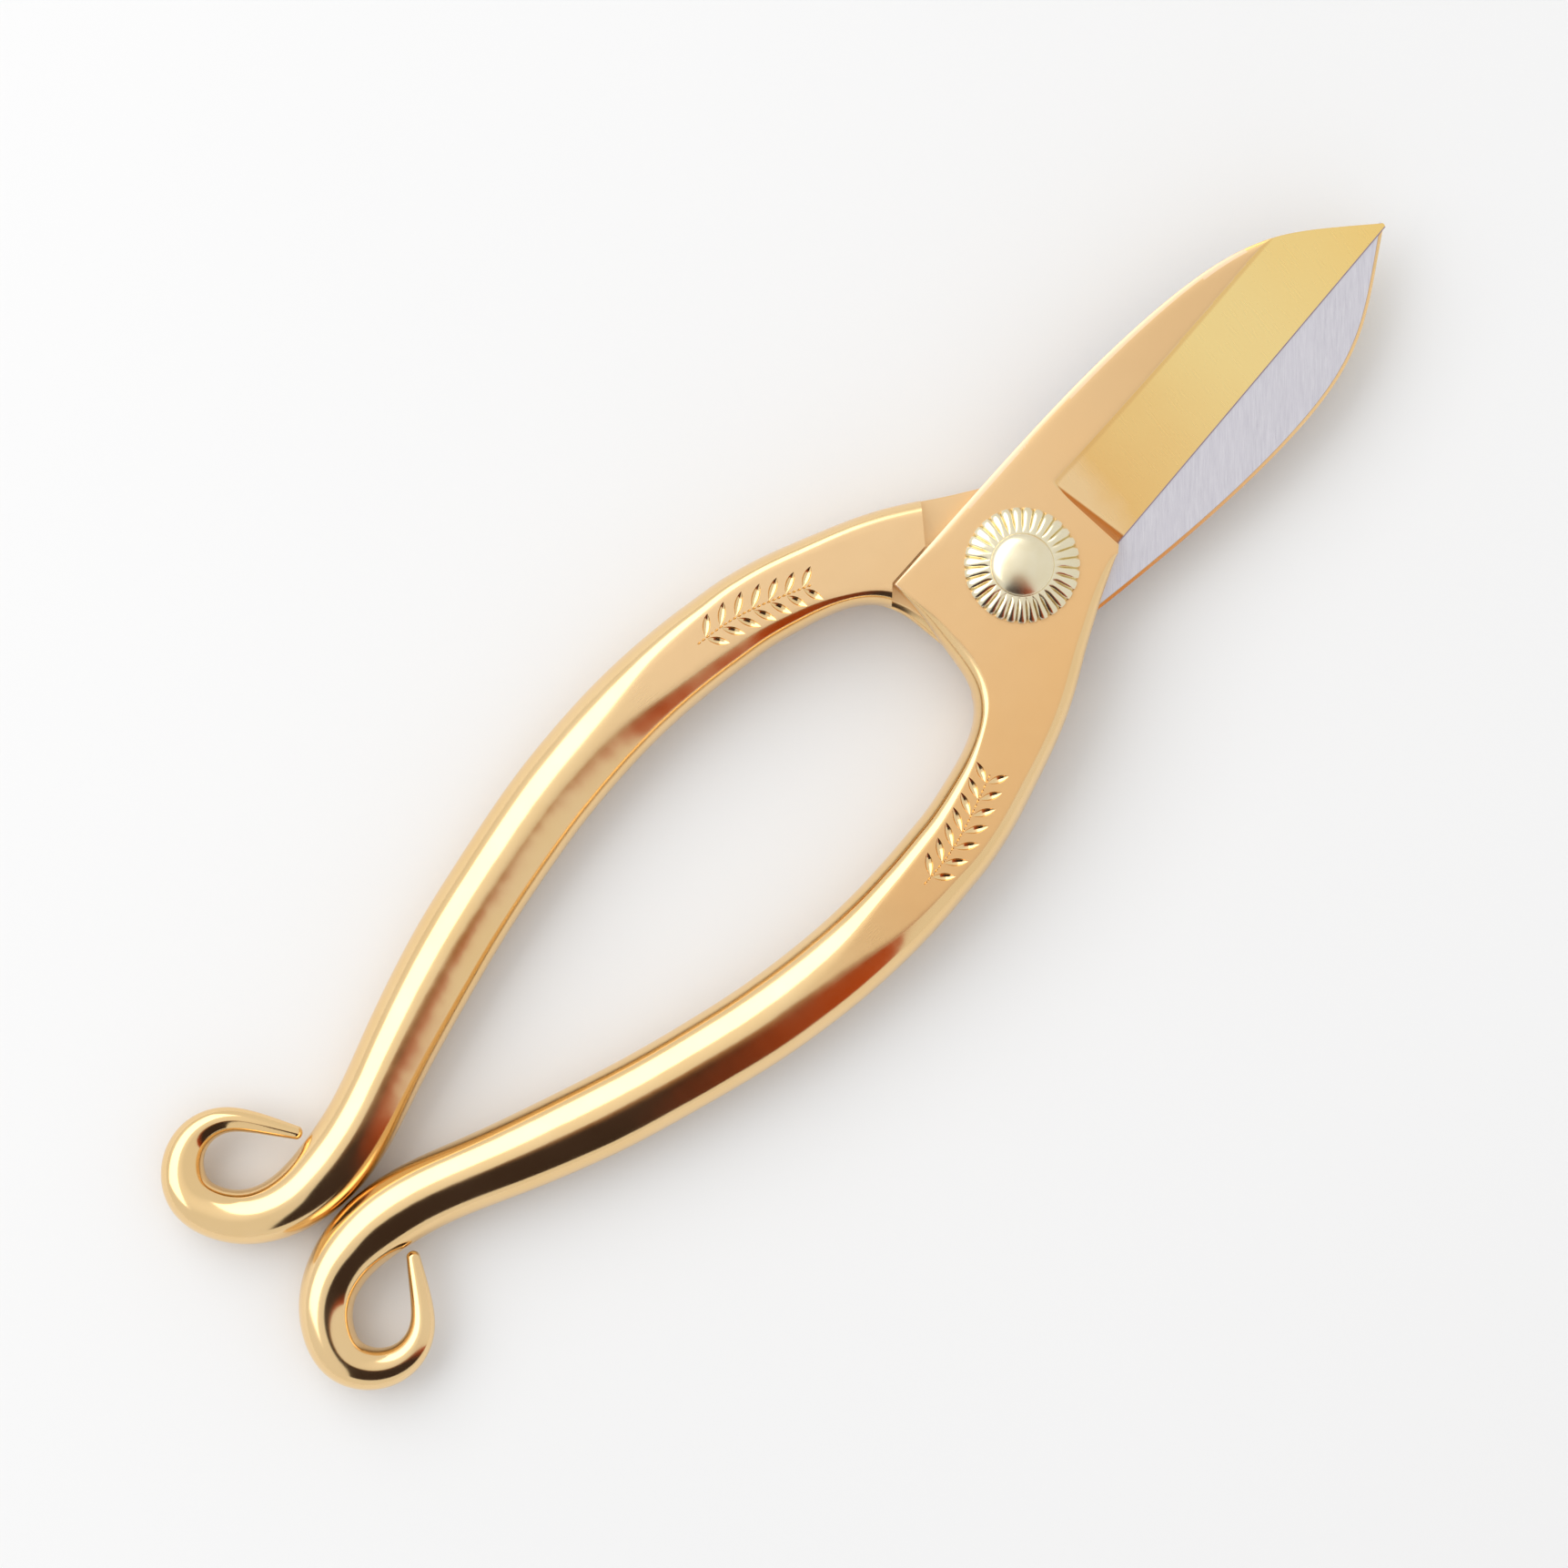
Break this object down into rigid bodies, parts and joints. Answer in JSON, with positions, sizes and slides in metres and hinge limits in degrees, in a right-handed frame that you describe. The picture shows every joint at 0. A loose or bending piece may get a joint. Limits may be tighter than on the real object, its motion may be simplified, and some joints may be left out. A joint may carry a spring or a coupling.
{
  "type": "floral snips",
  "caption": "Gold-plated flower-cutting snips with round fern-curl handles, short pointed blades and a fluted rosette pivot; the levers open and shut on a domed rivet.",
  "frame": {"origin": "on the pivot axis, at the flat end of the rivet on the side the snips lie on", "axes": "+X from the curled handle ends towards the blade tips, +Z along the pivot axis towards the domed rivet head, +Y to the side the front blade is on"},
  "size_m": [0.1704, 0.0454, 0.0123],
  "materials": {
    "lever": "gold plated, polished handles and satin plate",
    "cutting_steel": "ground across the blade",
    "rivet": "polished, pale",
    "rosette": "polished, pale"
  },
  "bodies": {
    "rear_half": {"rear_lever": "lever", "rear_cutting_steel": "cutting_steel", "pivot_rivet": "rivet", "front_rosette": "rosette", "rear_rosette": "rosette"},
    "front_half": {"front_lever": "lever", "front_cutting_steel": "cutting_steel"}
  },
  "joints": [
    {"name": "pivot", "type": "hinge", "parent": "rear_half", "child": "front_half", "pos_m": [0, 0, 0.0061], "axis": [0, 0, 1], "range_deg": [0, 40]}
  ]
}
